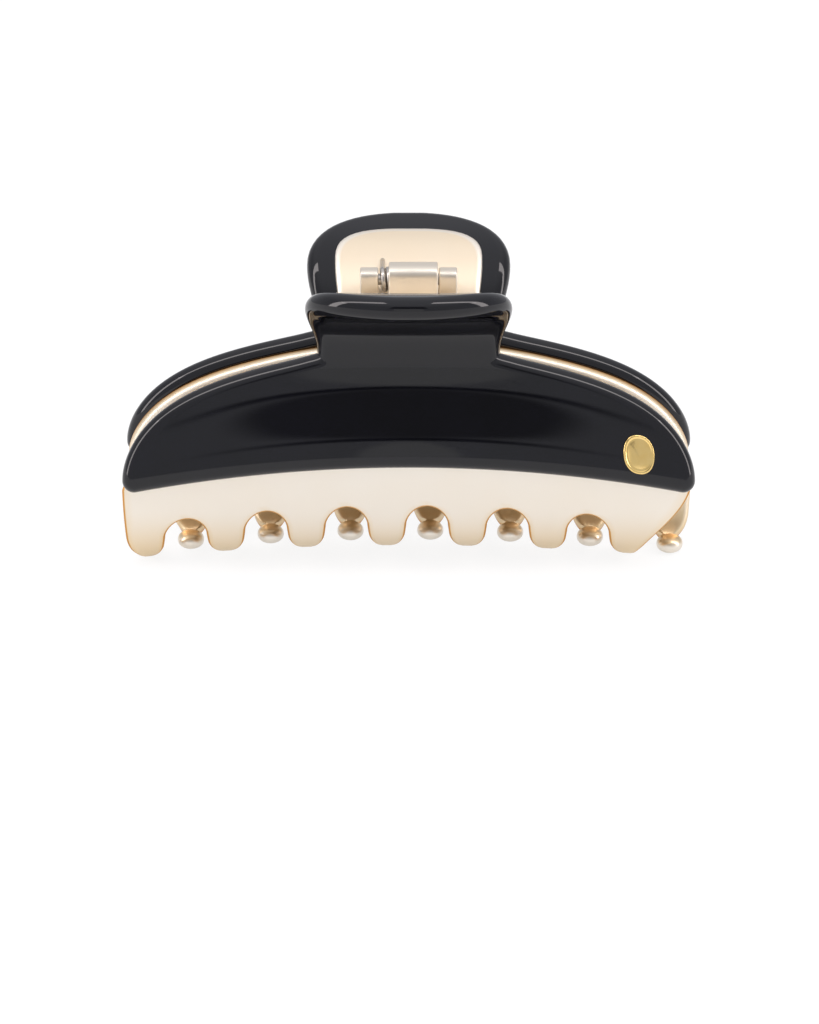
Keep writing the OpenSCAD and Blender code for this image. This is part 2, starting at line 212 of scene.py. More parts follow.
def comb_right(v, e, lining=BACK_LINING_V):
    """Place of the comb's right border."""
    if v < 2:
        return comb_side(v, e, lining)
    ledge = COMB_HALF + RIGHT_LEDGE * smooth((v - 2) / LEDGE_V)
    last_tip = FIRST_TOOTH + PITCH * (TEETH - 1) + RIGHT_END
    return mix(ledge, last_tip, smooth((v - 2) * RIGHT_SPEED)) - e


def comb_thick(v):
    """Thickness of the comb, thin on the tab as a lining and full below the neck."""
    return mix(LINING_T, COMB_T, smooth((v - 0.35) / 0.55))


def gap_mid(t):
    """Middle of the gap between tooth t and the next one."""
    return FIRST_TOOTH + PITCH * (t + 0.5)


def gap_half(v, e):
    """Half the gap between two teeth, an arch above and flaring at the tips."""
    top = ARCH_V - e / SKIRT_LEN
    if v < GAP_V:
        return (GAP_W / 2 + e) * math.sqrt(max(0.0, 1 - ((GAP_V - v) / (GAP_V - top)) ** 2))
    return mix(GAP_W, GAP_W + GAP_FLARE, (v - GAP_V) / (3 - GAP_V)) / 2 + e


def tip_share(v):
    """Share of a tooth's width that is left as it rounds off at its tip."""
    s = limit((ROUND_H - profile(v)[1]) / (ROUND_H - TIP_H))
    return mix(TIP_SHARE, 1.0, math.sqrt(1 - s * s))


def tooth_side(t, v, e, side):
    """Left (-1) or right (1) side of tooth t."""
    if side < 0:
        edge = gap_mid(t - 1) + gap_half(v, e)
        if t == 0:
            edge = comb_left(v, e) + CORNER * smooth((v - CORNER_V) / CORNER_LEN)
    else:
        edge = comb_right(v, e) if t == TEETH - 1 else gap_mid(t) - gap_half(v, e)
    return mix(FIRST_TOOTH + PITCH * t, edge, tip_share(v))


def wing_rows(rise, first, neck_rows, rows):
    """Rows down neck and wing, from the angle first on at even steps round the wing's outline."""
    angles = spread(first, 90, rows)
    wing = [1 + (WING_DROP - rise * math.cos(math.radians(a))) / WING_DROP for a in angles]
    return spread(1, wing[0], neck_rows)[1:] + wing[1:]


# ---- mesh helpers -------------------------------------------------------------
def new_object(name, verts, faces, body=None, turned=False, painted_shade=None):
    """A smooth-shaded mesh from mm points.

    turned puts it on the back jaw, and the last argument is painted shade: how much deeper the gold is
    painted at each point.
    """
    mesh = bpy.data.meshes.new(name)
    spin = Matrix.Rotation(math.pi, 4, "Z") if turned else Matrix.Identity(4)
    mesh.from_pydata([spin @ (Vector(p) * MM) for p in verts], [], faces)
    if painted_shade:
        mesh.attributes.new("painted_shade", "FLOAT", "POINT").data.foreach_set("value", painted_shade)
    bm = bmesh.new()
    bm.from_mesh(mesh)
    bmesh.ops.remove_doubles(bm, verts=bm.verts, dist=0.0005 * MM)
    bmesh.ops.recalc_face_normals(bm, faces=bm.faces)
    bm.to_mesh(mesh)
    bm.free()
    mesh.polygons.foreach_set("use_smooth", [True] * len(mesh.polygons))
    piece = bpy.data.objects.new(name, mesh)
    bpy.context.scene.collection.objects.link(piece)
    if body:
        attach(piece, body)
    return piece


def grid_faces(number, rows, cols):
    """Faces of a grid, where number(i, j) is the number of the point in row i and column j."""
    return [
        (number(i, j), number(i, j + 1), number(i + 1, j + 1), number(i + 1, j))
        for i in range(rows)
        for j in range(cols)
    ]


def ring_faces(start, count, rings):
    """Faces between closed rings of count points each, the first of which begins at start."""
    faces = []
    for k in range(rings - 1):
        for m in range(count):
            a, b = start + k * count + m, start + k * count + (m + 1) % count
            faces.append((a, b, b + count, a + count))
    return faces


def squared(value, power):
    """A sine or cosine raised to a power with its sign kept, which squares a circle."""
    return math.copysign(abs(value) ** power, value)


# ---- shells -------------------------------------------------------------------
def shell_rows():
    """Rows down the shell, close together where its outline turns."""
    tab = [mix(0.004, 1, 1 - math.cos(math.radians(a))) for a in spread(0, 90, 26)]
    return tab + wing_rows(WING_RISE - SHELL_T / 2, 26, 36, 34)


def shell_mesh():
    """An acetate plate with full-round edges: two faces and a half-round rim."""
    e, rows = SHELL_T / 2, shell_rows()
    last, cols, rim_steps = len(rows) - 1, 72, 12
    # The rim is fanned out, in steps of fan_step, where the border turns by more than sharp
    sharp, fan_step = 0.35, 0.15

    def layer(w):
        return [
            jaw_point(mix(-1, 1, j / cols) * shell_half(v, e), v, w) for v in rows for j in range(cols + 1)
        ]

    def number(i, j):
        return i * (cols + 1) + j

    outer, inner = layer(GLUE_GAP + SHELL_T), layer(GLUE_GAP)
    n = len(outer)
    verts, faces = outer + inner, []
    for q in grid_faces(number, last, cols):
        faces += [q, tuple(n + a for a in reversed(q))]

    # Once round the border: along the top, down the right end, back along the edge and up the left end
    border = [number(0, j) for j in range(cols + 1)]
    border += [number(i, cols) for i in range(1, last + 1)]
    border += [number(last, j) for j in range(cols - 1, -1, -1)]
    border += [number(i, 0) for i in range(last - 1, 0, -1)]
    centre = [(o + u) / 2 for o, u in zip(outer, inner)]
    half = [(o - u) / 2 for o, u in zip(outer, inner)]
    # Border points, each with a direction outwards from the plate
    stops = []
    for before, here, after in zip(border[-1:] + border, border, border[1:] + border[:1]):
        a = half[here].cross(centre[here] - centre[before]).normalized()
        b = half[here].cross(centre[after] - centre[here]).normalized()
        turn = a.angle(b)
        if turn > sharp:
            steps = max(2, int(turn / fan_step))
            stops += [(here, a.slerp(b, s / steps)) for s in range(steps + 1)]
        else:
            stops.append((here, (a + b).normalized()))
    lines = []
    for here, away in stops:
        line = [here]
        for k in range(1, rim_steps):
            t = math.pi * k / rim_steps
            verts.append(centre[here] + half[here] * math.cos(t) + away * e * math.sin(t))
            line.append(len(verts) - 1)
        lines.append(line + [n + here])
    for line, following in zip(lines, lines[1:] + lines[:1]):
        for k in range(rim_steps):
            q = tuple(dict.fromkeys((line[k], line[k + 1], following[k + 1], following[k])))
            if len(q) > 2:
                faces.append(q)
    return verts, faces


# ---- combs --------------------------------------------------------------------
def comb_rows(e, lining):
    """Rows of the plate down to the arches, for an outline inset by e."""
    top, round_end = lining + e / TAB_LEN, lining + 0.28
    tab = [mix(top + 0.001, round_end, (i / 12) ** 2.2) for i in range(13)]
    tab += spread(round_end, 1, 11)[1:]
    skirt = [2.02, 2.05] + spread(2 + LEDGE_V, ARCH_V - e / SKIRT_LEN, 8)
    return tab + wing_rows(COMB_RISE - e, 6, 4, 30) + skirt


def tooth_rows(e):
    """Rows from the top of the arches to the tips, closer where the outline turns."""
    top = ARCH_V - e / SKIRT_LEN
    arch = [mix(top, GAP_V, 1 - math.cos(math.radians(a))) for a in spread(0, 90, 9)]
    return arch + [mix(GAP_V, TIP_V, 1 - (1 - i / 44) ** 1.6) for i in range(1, 45)]


# Columns of faces on a tooth and on the plate, and their rows
ACROSS = 8
COLS = ACROSS * TEETH
PLATE_ROWS, TOOTH_ROWS = len(comb_rows(0, BACK_LINING_V)) - 1, len(tooth_rows(0)) - 1


def plate_number(i, j):
    """Number of the plate's point in row i and column j."""
    return i * (COLS + 1) + j


def tooth_number(t, r, c):
    """Number of a point of tooth t, whose first row is the plate's last one."""
    if r == 0:
        return plate_number(PLATE_ROWS, ACROSS * t + c)
    return plate_number(PLATE_ROWS + 1, 0) + (t * TOOTH_ROWS + r - 1) * (ACROSS + 1) + c


def comb_layer(lining, e, share):
    """Points of plate and teeth in a layer inset by e, at a share of the comb's thickness."""
    plate, feet = comb_rows(e, lining), []

    def row(left, right, v, places):
        return [jaw_point(mix(left, right, s), v, -share * comb_thick(v)) for s in places]

    for j in range(COLS + 1):
        t = min(TEETH - 1, j // ACROSS)
        left, right = (tooth_side(t, plate[-1], e, side) for side in (-1, 1))
        feet.append(mix(left, right, (j - ACROSS * t) / ACROSS))
    columns = [(x - feet[0]) / (feet[-1] - feet[0]) for x in feet]
    points = []
    for v in plate:
        points += row(comb_left(v, e, lining), comb_right(v, e, lining), v, columns)
    for t in range(TEETH):
        for v in tooth_rows(e)[1:]:
            points += row(tooth_side(t, v, e, -1), tooth_side(t, v, e, 1), v, spread(0, 1, ACROSS))
    return points


def comb_border():
    """Numbers of a layer's border points, once round the plate and every tooth."""
    border = [plate_number(0, j) for j in range(COLS + 1)]
    border += [plate_number(i, COLS) for i in range(1, PLATE_ROWS + 1)]
    for t in range(TEETH - 1, -1, -1):
        border += [tooth_number(t, r, ACROSS) for r in range(1, TOOTH_ROWS + 1)]
        border += [tooth_number(t, TOOTH_ROWS, c) for c in range(ACROSS - 1, 0, -1)]
        border += [tooth_number(t, r, 0) for r in range(TOOTH_ROWS, 0, -1)]
        if t:
            border.append(tooth_number(t, 0, 0))
    return border + [plate_number(i, 0) for i in range(PLATE_ROWS, 0, -1)]


def comb_mesh(lining):
    """Plate and teeth: an outer and an inner face, joined by rings round the rounded edge.

    A point attribute paints the gold deeper on the inner face and round the sharp outer edge, as painted
    shade and painted reflections of gold in gold, but hardly round the thumb tab.
    """
    quarter = [math.radians(a) for a in (0, 22, 45, 68, 90)]
    rings = [(OUTER_EDGE * (1 - math.sin(a)), OUTER_EDGE * (1 - math.cos(a)) / COMB_T) for a in quarter]
    rings += [
        (INNER_EDGE * (1 - math.sin(a)), 1 - INNER_EDGE * (1 - math.cos(a)) / COMB_T)
        for a in reversed(quarter)
    ]
    # Painted shade: the inner face a little deeper, the border more, and the rings round the outer edge
    # deepest, where gold reflects gold
    inner_shade, rim_shade, fade = 0.2, 0.12, 12
    edge_shade = (0.9, 1.0, 1.0, 0.8, 0.25, 0.15, 0.1, 0.05)

    cells = grid_faces(plate_number, PLATE_ROWS, COLS)
    for t in range(TEETH):
        cells += grid_faces(lambda r, c: tooth_number(t, r, c), TOOTH_ROWS, ACROSS)
    verts = comb_layer(lining, *rings[0])
    n = len(verts)
    verts += comb_layer(lining, *rings[-1])
    faces = cells + [tuple(n + a for a in reversed(q)) for q in cells]
    painted_shade = [0.0] * n + [inner_shade] * n
    border = comb_border()
    for a in border:
        painted_shade[a] = rim_shade
    below_hinge = [smooth((HINGE_Z - p[2]) / fade) for p in verts[:n]]
    lines = [border]
    for ring, deep in zip(rings[1:-1], edge_shade):
        points = comb_layer(lining, *ring)
        lines.append([len(verts) + m for m in range(len(border))])
        verts += [points[a] for a in border]
        painted_shade += [deep * below_hinge[a] for a in border]
    lines.append([n + a for a in border])
    for a, b in zip(lines, lines[1:]):
        for m in range(len(border)):
            k = (m + 1) % len(border)
            faces.append((a[m], b[m], b[k], a[k]))
    return verts, faces, painted_shade


def add_balls(verts, faces, painted_shade):
    """Flattened balls on the tooth tips: superellipses, painted golden on top as shade and pale below as a
    reflection of the floor.
    """
    around, up = 32, 16
    # Painted shade deepens the top of each ball, and a painted reflection of the white floor pales its
    # underside
    pale, golden = -0.4, 0.35
    for t in range(TEETH):
        x = FIRST_TOOTH + PITCH * t
        k = (x / HALF_LEN) ** 2
        mid = Vector((x, -BALL_OUT * (1 - END_TAPER * k), BASE_Z + BALL_UP - TIP_DROP * k))
        faces += ring_faces(len(verts), around, up + 1)
        for i in range(up + 1):
            a = math.pi * i / up - math.pi / 2
            r, h = squared(math.cos(a), 0.82) * BALL_W / 2, squared(math.sin(a), 0.92) * BALL_H / 2
            for j in range(around):
                b = 2 * math.pi * j / around
                verts.append(mid + Vector((r * math.cos(b), r * math.sin(b), h)))
                painted_shade.append(mix(pale, golden, max(0.0, math.sin(a))))


# ---- hinge --------------------------------------------------------------------
PIN_R, WIRE_R = 1.0, 0.475
# The coil runs free round the pin, and the hood's chamber free round the coil
COIL_R = PIN_R + 0.28 + WIRE_R
CHAMBER_R = COIL_R + WIRE_R + 0.32
HOOD_R, KNUCKLE_R = CHAMBER_R + 0.5, 2.1
HOOD_X = (-3.5, 5.12)
KNUCKLE_X, KNUCKLE_W = 5.3, 3.2
# Rounding of a barrel's ends, how far its web stays under the comb's outer face, and its painted shade
BARREL_EDGE, WEB_DEEP, BARREL_SHADE = 0.3, 0.3, 0.03
# Turns of the coil, a leg's gap to its lining, and where on the linings the legs end
COIL_TURNS, LEG_GAP = 7, 0.1
BACK_LEG_V, FRONT_LEG_V = 0.48, 0.8


def touch_angle(p, r, side):
    """Angle at which a line from p, seen from the hinge axis, touches a circle round the axis."""
    return math.atan2(p[1], p[0]) + side * math.acos(r / math.hypot(*p))


def barrel_outline(r, v0, v1, square, foot=0.0):
    """Barrel and web in a side view, as (out, up) from the hinge axis, anticlockwise.

    The web stands on the comb from v0 to v1. The barrel's upper corner is squared on one side
    (1 outwards, -1 inwards), and foot lengthens the barrel downwards on its inner side.
    """
    web = []
    for v in spread(v0, v1, 8):
        (d, z), (nd, nz) = profile(v), profile_normal(v)
        web.append((d - WEB_DEEP * nd, z - WEB_DEEP * nz - HINGE_UP))
    outline = []
    for a in spread(touch_angle(web[0], r, 1), touch_angle(web[-1], r, -1) + 2 * math.pi, 44):
        d, z = r * math.cos(a), r * math.sin(a)
        if z > 0 and square * d > 0:
            k = r / (abs(d) ** 4 + z**4) ** 0.25
            d, z = d * k, z * k
        outline.append((d, z - foot * smooth(-z / r) * smooth((0.5 * r - d) / r)))
    return outline + web[::-1]


def add_barrel(verts, faces, painted_shade, outline, x0, x1, side, hole=0.0, hole_end=0.0):
    """A barrel along X on the side of the back (1) or front (-1) jaw.

    hole is the radius of a blind hole from x0 to hole_end. Without it the pin hole shows at both ends.
    """
    unit = [(d / math.hypot(d, z), z / math.hypot(d, z)) for d, z in outline]

    def inset(e):
        return [(d - e * u, z - e * w) for (d, z), (u, w) in zip(outline, unit)]

    def circle(r):
        return [(r * u, r * w) for u, w in unit]

    if hole:
        chamfer = 0.08
        left = [(hole_end, 0.0), (hole_end, hole), (x0 + chamfer, hole), (x0, hole + chamfer)]
        right = [(x1, 0.0)]
    else:
        # Depth and radius of the hole, sunk a little so that the pin's end shows in it
        play, chamfer, deep = PIN_R + 0.06, PIN_R + 0.16, 0.35
        sunk = [(deep, 0.0), (deep, play), (0.06, play), (0.0, chamfer)]
        left = [(x0 + depth, r) for depth, r in sunk]
        right = [(x1 - depth, r) for depth, r in reversed(sunk)]
    quarter = [math.radians(a) for a in (90, 60, 30, 0)]
    edge = [(BARREL_EDGE * (1 - math.sin(a)), BARREL_EDGE * (1 - math.cos(a))) for a in quarter]
    rings = [(x, circle(r)) for x, r in left]
    rings += [(x0 + along, inset(e)) for along, e in edge]
    rings += [(x1 - along, inset(e)) for along, e in reversed(edge)]
    rings += [(x, circle(r)) for x, r in right]
    faces += ring_faces(len(verts), len(outline), len(rings))
    for x, points in rings:
        verts += [Vector((x, side * d, HINGE_Z + z)) for d, z in points]
        painted_shade += [BARREL_SHADE] * len(points)


def spring_leg(v):
    """Angle where a leg to the lining at v leaves the coil, and its length."""
    (d, z), (nd, nz) = profile(v), profile_normal(v)
    w = -comb_thick(v) - WIRE_R - LEG_GAP
    end = (d + w * nd, z + w * nz - HINGE_UP)
    return touch_angle(end, COIL_R, 1), math.sqrt(end[0] ** 2 + end[1] ** 2 - COIL_R**2)


def spring_mesh():
    """The wire: a leg to the back lining, the coil, and a leg to the front lining in the hood's slot."""
    (start, back), (stop, front) = spring_leg(BACK_LEG_V), spring_leg(FRONT_LEG_V)
    turn = 2 * math.pi * COIL_TURNS + math.pi - start - stop
    x0, x1 = -KNUCKLE_X + WIRE_R + 0.22, HOOD_X[1] - 1.2 - (2 * WIRE_R + 0.25) / 2
    sides, steps, leg_steps = 20, COIL_TURNS * 40, 12
    # A leg's rings, from the coil out: share of the leg's length, mm short of it, share of the radius
    leg = [(i / leg_steps, 0, 1.0) for i in range(1, leg_steps)]
    leg_end = [(1, 0.12, 1.0), (1, 0, 0.95), (1, 0, 0.6)]
    back_leg = [(-back * share + short, size) for share, short, size in reversed(leg[:-1] + leg_end)]
    front_leg = [(front * share - short, size) for share, short, size in leg + leg_end]
    # Rings of the wire: angle round the hinge, place along it, distance along a leg, share of the radius
    rings = [(start, x0, along, size) for along, size in back_leg]
    for t in spread(0, 1, steps):
        rings.append((start + turn * t, mix(x0, x1, mix(t, smooth(t), 0.15)), 0.0, 1.0))
    rings += [(start + turn, x1, along, size) for along, size in front_leg]
    verts = []
    for a, x, along, size in rings:
        out, ahead = Vector((0, math.cos(a), math.sin(a))), Vector((0, -math.sin(a), math.cos(a)))
        mid = Vector((x, 0, HINGE_Z)) + COIL_R * out + along * ahead
        for s in range(sides):
            b = 2 * math.pi * s / sides
            verts.append(mid + WIRE_R * size * (math.cos(b) * out + math.sin(b) * Vector((1, 0, 0))))
    faces = ring_faces(0, sides, len(rings))
    faces += [tuple(range(sides)), tuple(range(len(verts) - 1, len(verts) - sides - 1, -1))]
    return verts, faces


# ---- plaque -------------------------------------------------------------------
PLAQUE_X, PLAQUE_V, PLAQUE_W, PLAQUE_H = 40.3, 1.84, 5.6, 6.9
# Share of the half width, and height over the shell, from under the rim to the middle of the dome
PLAQUE_RIM = (
    (0.97, -0.4),
    (1.0, -0.1),
    (1.0, 0.28),
    (0.985, 0.4),
    (0.95, 0.47),
    (0.9, 0.48),
    (0.85, 0.45),
    (0.82, 0.38),
)
PLAQUE_DOME = ((0.79, 0.36), (0.7, 0.4), (0.55, 0.46), (0.4, 0.5), (0.2, 0.53), (0.0, 0.54))


def plaque_mesh():
    """A plain upright oval with a rounded rim and a low dome."""

    def face(x, v):
        return jaw_point(x, v, GLUE_GAP + SHELL_T)

    right = (face(PLAQUE_X + 1, PLAQUE_V) - face(PLAQUE_X - 1, PLAQUE_V)).normalized()
    up = (face(PLAQUE_X, PLAQUE_V - 0.05) - face(PLAQUE_X, PLAQUE_V + 0.05)).normalized()
    out = right.cross(up).normalized()
    mid, around, section = face(PLAQUE_X, PLAQUE_V), 72, PLAQUE_RIM + PLAQUE_DOME
    verts = []
    for share, lift in section:
        wide = share * PLAQUE_W / 2
        tall = wide + (PLAQUE_H - PLAQUE_W) / 2 * min(1.0, share * 1.1)
        for j in range(around):
            a = 2 * math.pi * j / around
            x, y = squared(math.cos(a), 0.9) * wide, squared(math.sin(a), 0.9) * tall
            verts.append(mid + right * x + up * y + out * lift)
    faces = ring_faces(0, around, len(section))
    faces.append(tuple(range(around - 1, -1, -1)))
    return verts, faces


# ---- materials ----------------------------------------------------------------
def srgb(text):
    """An sRGB hex colour as linear RGBA."""
    parts = [int(text[i : i + 2], 16) / 255 for i in (1, 3, 5)]
    return tuple(p / 12.92 if p <= 0.04045 else ((p + 0.055) / 1.055) ** 2.4 for p in parts) + (1.0,)


def add(tree, kind, settings=None, links=None):
    """Adds a node. Settings are its attributes or input values, and links feed its inputs."""
    node = tree.nodes.new(kind)
    for key, value in (settings or {}).items():
        if isinstance(key, str) and hasattr(node, key):
            setattr(node, key, value)
        else:
            node.inputs[key].default_value = value
    for key, socket in (links or {}).items():
        tree.links.new(socket, node.inputs[key])
    return node


def set_stops(ramp, stops):
    """Gives a colour ramp its colours, as hex colours by their positions."""
    elements = ramp.color_ramp.elements
    first, *between, last = stops.items()
    elements[0].position, elements[0].color = first[0], srgb(first[1])
    elements[1].position, elements[1].color = last[0], srgb(last[1])
    for position, text in between:
        elements.new(position).color = srgb(text)


def new_material(name):
    mat = bpy.data.materials.new(name)
    mat.use_nodes = True
    mat.node_tree.nodes.clear()
    return mat, mat.node_tree


def finish_material(tree, shader):
    """Sends a shader to the material's surface."""
    add(tree, "ShaderNodeOutputMaterial", links={"Surface": shader.outputs[0]})


def black_acetate():
    """Cellulose acetate sheet, tumbled and hand polished: deep black under a wet gloss.

    Its faint waviness comes from heat bending and polishing, a few centimetres long and hardly deep.
    """
    mat, tree = new_material("polished_black_acetate")
    place = add(tree, "ShaderNodeTexCoord").outputs["Object"]
    wave = add(
        tree, "ShaderNodeTexNoise", {"Scale": 38.0, "Detail": 1.0, "Roughness": 0.4}, {"Vector": place}
    )
    swirl = add(tree, "ShaderNodeTexNoise", {"Scale": 90.0, "Detail": 3.0}, {"Vector": place})
    haze = add(
        tree, "ShaderNodeTexNoise", {"Scale": 700.0, "Detail": 4.0, "Roughness": 0.6}, {"Vector": place}
    )
    colour = add(tree, "ShaderNodeValToRGB", links={"Fac": swirl.outputs["Fac"]})
    set_stops(colour, {0.35: "#06060b", 0.7: "#090910"})
    rough = add(
        tree, "ShaderNodeMapRange", {"To Min": 0.035, "To Max": 0.075}, {"Value": haze.outputs["Fac"]}
    )
    bump = add(
        tree, "ShaderNodeBump", {"Strength": 0.25, "Distance": 0.00012}, {"Height": wave.outputs["Fac"]}
    )
    shader = add(
        tree,
        "ShaderNodeBsdfPrincipled",
        {"IOR": 1.49},
        {"Base Color": colour.outputs["Color"], "Roughness": rough.outputs[0], "Normal": bump.outputs[0]},
    )
    finish_material(tree, shader)
    return mat


def metallised_plastic():
    """Injection-moulded plastic, vacuum metallised and lacquered pale champagne.

    Its gold is painted deeper towards the teeth and along edges, as painted shade and painted reflections of
    gold in gold.
    The tips are polished.
    """
    mat, tree = new_material("champagne_metallised_plastic")
    place = add(tree, "ShaderNodeTexCoord").outputs["Object"]
    height = add(tree, "ShaderNodeSeparateXYZ", links={0: place}).outputs["Z"]
    flow = add(tree, "ShaderNodeTexNoise", {"Scale": 60.0, "Detail": 2.0}, {"Vector": place})
    grain = add(tree, "ShaderNodeTexNoise", {"Scale": 1500.0, "Detail": 3.0}, {"Vector": place})
    # Painted shade: the gold deepens over the lowest 12 mm, towards the tooth tips
    painted_tip_shade = add(
        tree,
        "ShaderNodeMapRange",
        {"interpolation_type": "SMOOTHSTEP", "From Min": 0.012, "From Max": 0.0, "To Max": 0.36},
        {"Value": height},
    )
    # Painted shade and painted reflections that the meshes carry at their points
    painted_shade_input = add(tree, "ShaderNodeAttribute", {"attribute_name": "painted_shade"})
    # Sum of the painted shade at the tips and at the points
    depth = add(
        tree,
        "ShaderNodeMath",
        {"operation": "ADD", "use_clamp": True},
        {0: painted_tip_shade.outputs[0], 1: painted_shade_input.outputs["Fac"]},
    )
    # Random tone from the noise, added to the painted shade
    tone_and_painted_shade = add(
        tree,
        "ShaderNodeMath",
        {"operation": "MULTIPLY_ADD", 1: 0.12, "use_clamp": True},
        {0: flow.outputs["Fac"], 2: depth.outputs[0]},
    )
    # Pale champagne face, deepening to orange gold where the shade is painted
    colour = add(tree, "ShaderNodeValToRGB", links={"Fac": tone_and_painted_shade.outputs[0]})
    set_stops(colour, {0.0: "#f7f1e7", 0.45: "#eed6ae", 1.0: "#d09446"})
    satin = add(tree, "ShaderNodeMapRange", {"To Min": 0.38, "To Max": 0.47}, {"Value": grain.outputs["Fac"]})
    polish = add(
        tree, "ShaderNodeMapRange", {"From Min": 0.003, "From Max": 0.012, "To Min": 0.77}, {"Value": height}
    )
    rough = add(
        tree, "ShaderNodeMath", {"operation": "MULTIPLY"}, {0: satin.outputs[0], 1: polish.outputs[0]}
    )
    bump = add(
        tree, "ShaderNodeBump", {"Strength": 0.15, "Distance": 0.00004}, {"Height": flow.outputs["Fac"]}
    )
    shader = add(
        tree,
        "ShaderNodeBsdfPrincipled",
        {"Metallic": 1.0, "Coat Weight": 0.12, "Coat Roughness": 0.2},
        {"Base Color": colour.outputs["Color"], "Roughness": rough.outputs[0], "Normal": bump.outputs[0]},
    )
    finish_material(tree, shader)
    return mat


def plain_metal(name, scale, detail, dark, light, smoothest, roughest):
    """Metal whose fine marks change its colour from dark to light as they change its roughness."""
    mat, tree = new_material(name)
    place = add(tree, "ShaderNodeTexCoord").outputs["Object"]
    noise = add(tree, "ShaderNodeTexNoise", {"Scale": scale, "Detail": detail}, {"Vector": place})
    marks = noise.outputs["Fac"]
    colour = add(tree, "ShaderNodeValToRGB", links={"Fac": marks})
    set_stops(colour, {0.0: dark, 1.0: light})
    rough = add(tree, "ShaderNodeMapRange", {"To Min": smoothest, "To Max": roughest}, {"Value": marks})
    shader = add(
        tree,
        "ShaderNodeBsdfPrincipled",
        {"Metallic": 1.0},
        {"Base Color": colour.outputs["Color"], "Roughness": rough.outputs[0]},
    )
    finish_material(tree, shader)
    return mat


def spring_steel():
    """Hard-drawn spring wire: grey steel with the fine marks of the die."""
    return plain_metal("drawn_spring_steel", 2200.0, 2.0, "#b9b4ae", "#d2cdc6", 0.22, 0.36)


def plated_plaque():
    """Stamped brass, gold plated and polished, with slight wear."""
    return plain_metal("plated_brass", 900.0, 3.0, "#fbd480", "#ffe09a", 0.08, 0.16)


ACETATE, GOLD, STEEL, PLATED = black_acetate(), metallised_plastic(), spring_steel(), plated_plaque()


def dress(piece, material, node):
    """Gives a piece its material and slot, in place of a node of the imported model."""
    piece.data.materials.append(material)
    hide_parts(node)
    return piece


# ---- the clip -----------------------------------------------------------------
shell = shell_mesh()
dress(new_object("front_shell_plate", *shell, "front_jaw"), ACETATE, "front_shell")
dress(new_object("back_shell_plate", *shell, "back_jaw", turned=True), ACETATE, "back_shell")

hood = barrel_outline(HOOD_R, 0.75, 0.9, square=1)
knuckle = barrel_outline(KNUCKLE_R, 0.62, 0.85, square=-1, foot=2.4)

verts, faces, painted_shade = comb_mesh(FRONT_LINING_V)
add_balls(verts, faces, painted_shade)
add_barrel(verts, faces, painted_shade, hood, *HOOD_X, -1, hole=CHAMBER_R, hole_end=HOOD_X[1] - 1)
front_comb = new_object("front_comb_moulding", verts, faces, "front_jaw", painted_shade=painted_shade)
dress(front_comb, GOLD, "front_comb")

verts, faces, painted_shade = comb_mesh(BACK_LINING_V)
add_balls(verts, faces, painted_shade)
# The back comb is the front one turned half round, with knuckles in the hood's place
verts = [Vector((-p[0], -p[1], p[2])) for p in verts]
for x in (-KNUCKLE_X - KNUCKLE_W, KNUCKLE_X):
    add_barrel(verts, faces, painted_shade, knuckle, x, x + KNUCKLE_W, 1)
back_comb = new_object("back_comb_moulding", verts, faces, "back_jaw", painted_shade=painted_shade)
dress(back_comb, GOLD, "back_comb")

spring = dress(new_object("spring_wire", *spring_mesh()), STEEL, "torsion_spring")
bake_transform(spring)

dress(new_object("plaque_oval", *plaque_mesh(), "front_jaw"), PLATED, "plaque")

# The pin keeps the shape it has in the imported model
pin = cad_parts["hinge_pin"]
pin.data.materials.clear()
pin.data.materials.append(STEEL)


# ---- studio -------------------------------------------------------------------
WHITE = (1, 1, 1, 1)


def stand(name, data, place, aim):
    """Puts a light, card or camera at its place in metres, facing its aim."""
    thing = bpy.data.objects.new(name, data)
    thing.location = place
    thing.rotation_euler = (Vector(aim) - Vector(place)).to_track_quat("-Z", "Y").to_euler()
    bpy.context.scene.collection.objects.link(thing)
    return thing


def white_paper():
    """Matt white paper, seen a little lighter than it is lit so that it fades into the backdrop."""
    mat, tree = new_material("white_paper")
    place = add(tree, "ShaderNodeTexCoord").outputs["Object"]
    fibre = add(tree, "ShaderNodeTexNoise", {"Scale": 400.0, "Detail": 2.0}, {"Vector": place})
    colour = add(tree, "ShaderNodeValToRGB", links={"Fac": fibre.outputs["Fac"]})
    set_stops(colour, {0.0: "#f9f9f9", 1.0: "#fcfcfc"})
    paper = add(
        tree,
        "ShaderNodeBsdfPrincipled",
        {"Roughness": 0.9, "Specular IOR Level": 0.0},
        {"Base Color": colour.outputs["Color"]},
    )
    path = add(tree, "ShaderNodeLightPath")
    seen, mirrored = path.outputs["Is Camera Ray"], path.outputs["Is Glossy Ray"]
    level = add(tree, "ShaderNodeMath", {"operation": "MULTIPLY_ADD", 1: 0.17, 2: 0.86}, {0: seen})
    glow = add(tree, "ShaderNodeEmission", {"Color": WHITE}, {"Strength": level.outputs[0]})
    gloss = add(tree, "ShaderNodeMath", {"operation": "MULTIPLY", 1: 0.6}, {0: mirrored})
    share = add(
        tree, "ShaderNodeMath", {"operation": "MULTIPLY_ADD", 1: 0.82}, {0: seen, 2: gloss.outputs[0]}
    )
    both = add(
        tree, "ShaderNodeMixShader", links={"Fac": share.outputs[0], 1: paper.outputs[0], 2: glow.outputs[0]}
    )
    finish_material(tree, both)
    return mat


def studio_floor():
    """A square of white paper, 6 m wide, under the clip."""
    bm = bmesh.new()
    bmesh.ops.create_grid(bm, x_segments=1, y_segments=1, size=3.0)
    mesh = bpy.data.meshes.new("floor")
    bm.to_mesh(mesh)
    bm.free()
    mesh.materials.append(white_paper())
    floor = bpy.data.objects.new("floor", mesh)
    bpy.context.scene.collection.objects.link(floor)


